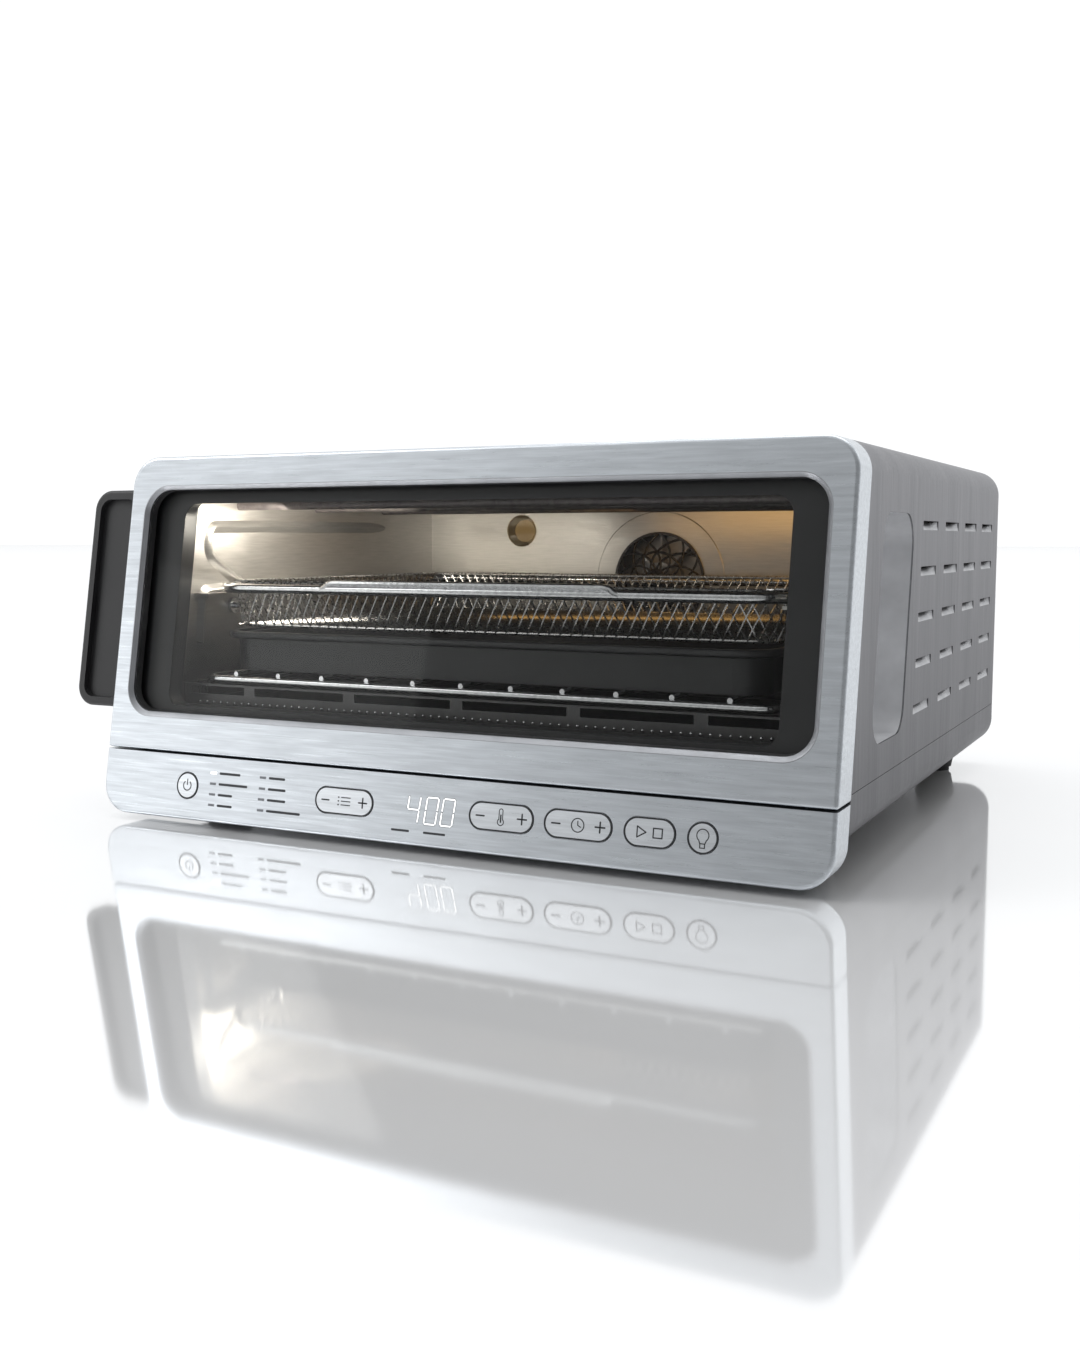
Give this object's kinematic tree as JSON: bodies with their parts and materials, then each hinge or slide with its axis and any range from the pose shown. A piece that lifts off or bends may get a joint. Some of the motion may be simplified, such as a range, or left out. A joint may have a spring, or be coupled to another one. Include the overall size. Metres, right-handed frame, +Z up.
{
  "type": "toaster oven",
  "caption": "Low wide countertop toaster oven with a leaning drop-down glass door, a side ear handle, a flush key panel, a rack, a fry basket, heaters and a convection fan.",
  "frame": {"origin": "centre of the footprint's box, on the surface it stands on", "axes": "+Z up, +Y towards the rear panel, +X towards the side away from the ear handle; the door faces -Y"},
  "size_m": [0.52, 0.4912, 0.2324],
  "materials": {
    "steel_front": "satin",
    "steel_case": "satin",
    "steel_bright": "polished",
    "steel_sheet": "plain",
    "cavity_steel": "satin",
    "wire_chrome": "polished",
    "basket_steel": "satin",
    "pan_coating": "non-stick",
    "tray_steel": "satin",
    "door_tint": "clear",
    "lens_glass": "frosted",
    "bulb_glass": "clear",
    "black_plastic": "satin",
    "black_frame": "matte",
    "black_moulding": "matte",
    "key_face": "satin",
    "smoked_lens": "glossy",
    "lamp_white": "diffuse",
    "board_green": "satin",
    "switch_grey": "satin",
    "heater_sheath": "oxidised",
    "ceramic_white": "glazed",
    "motor_metal": "plain",
    "gasket_rubber": "matte",
    "foot_rubber": "matte",
    "wool_blanket": "fibrous"
  },
  "bodies": {
    "case": {"hinge_brackets": "steel_sheet", "hinge_pins": "steel_sheet", "control_panel_plate": "steel_front", "control_carrier": "black_moulding", "control_board": "board_green", "tact_switches": "switch_grey", "display_module": "smoked_lens", "mode_lights": "lamp_white", "panel_back_cover": "black_moulding", "outer_cover": "steel_case", "base_shell": "steel_case", "rear_panel": "steel_sheet", "rear_screws": "steel_bright", "rear_spacers": "black_moulding", "cord_gland": "black_moulding", "grip_pocket_right": "steel_bright", "grip_pocket_left": "steel_bright", "front_frame": "black_frame", "feet": "black_moulding", "foot_pads": "foot_rubber", "cavity_floor": "cavity_steel", "cavity_ceiling": "cavity_steel", "cavity_right_wall": "cavity_steel", "cavity_left_wall": "cavity_steel", "cavity_back_wall": "cavity_steel", "side_guides": "cavity_steel", "front_sill": "cavity_steel", "crumb_tray": "tray_steel", "lower_heaters": "heater_sheath", "upper_heaters": "heater_sheath", "heater_insulators": "ceramic_white", "fan_grille": "cavity_steel", "fan_housing": "steel_sheet", "fan_motor": "motor_metal", "lamp_lens": "lens_glass", "lamp_housing": "steel_sheet", "lamp_bulb": "bulb_glass", "temperature_probe": "steel_bright", "ceiling_insulation": "wool_blanket", "power_board": "board_green", "board_posts": "black_moulding"},
    "door": {"door_front_plate": "steel_front", "window_bezel": "steel_bright", "glass_gasket": "gasket_rubber", "door_glass": "door_tint", "door_liner": "black_frame", "door_handle": "black_plastic", "handle_screws": "steel_sheet", "hinge_leaves": "steel_sheet"},
    "fan_rotor": {"convection_fan": "steel_sheet", "fan_shaft": "steel_bright"},
    "basket": {"air_fry_basket": "basket_steel"},
    "rack": {"wire_rack": "wire_chrome", "sheet_pan": "pan_coating"},
    "power_press": {"power_key": "key_face"},
    "light_press": {"light_key": "key_face"},
    "start_press": {"start_stop_key": "key_face"},
    "mode_rock": {"mode_rocker": "key_face"},
    "temperature_rock": {"temperature_rocker": "key_face"},
    "time_rock": {"time_rocker": "key_face"}
  },
  "joints": [
    {"name": "door_hinge", "type": "hinge", "parent": "case", "child": "door", "pos_m": [0.02, -0.23509, 0.0488], "axis": [1, 0, 0], "range_deg": [0, 98]},
    {"name": "basket_slide", "type": "slide", "parent": "case", "child": "basket", "axis": [0, -1, 0], "range_m": [0, 0.12]},
    {"name": "rack_slide", "type": "slide", "parent": "case", "child": "rack", "axis": [0, -1, 0], "range_m": [0, 0.066]},
    {"name": "fan_spin", "type": "hinge", "parent": "case", "child": "fan_rotor", "pos_m": [0.02, 0.13, 0.1502], "axis": [0, 1, 0], "continuous": true},
    {"name": "power_press", "type": "slide", "parent": "case", "child": "power_press", "axis": [0, 0.9851, -0.1719], "range_m": [0, 0.0006], "stiffness_N_per_m": 2000},
    {"name": "light_press", "type": "slide", "parent": "case", "child": "light_press", "axis": [0, 0.9851, -0.1719], "range_m": [0, 0.0006], "stiffness_N_per_m": 2000},
    {"name": "start_stop_press", "type": "slide", "parent": "case", "child": "start_press", "axis": [0, 0.9851, -0.1719], "range_m": [0, 0.0006], "stiffness_N_per_m": 2000},
    {"name": "mode_tilt", "type": "hinge", "parent": "case", "child": "mode_rock", "pos_m": [-0.0326, -0.23969, 0.02511], "axis": [0, 0.1719, 0.9851], "range_deg": [-1.6, 1.6], "stiffness_Nm_per_rad": 0.5},
    {"name": "temperature_tilt", "type": "hinge", "parent": "case", "child": "temperature_rock", "pos_m": [0.0724, -0.23969, 0.02511], "axis": [0, 0.1719, 0.9851], "range_deg": [-1.6, 1.6], "stiffness_Nm_per_rad": 0.5},
    {"name": "time_tilt", "type": "hinge", "parent": "case", "child": "time_rock", "pos_m": [0.1195, -0.23969, 0.02511], "axis": [0, 0.1719, 0.9851], "range_deg": [-1.6, 1.6], "stiffness_Nm_per_rad": 0.5}
  ],
  "couplings": [
    {"joint": "basket_slide", "follows": "door_hinge", "m_per_rad": 0.07},
    {"joint": "rack_slide", "follows": "door_hinge", "m_per_rad": 0.038}
  ]
}
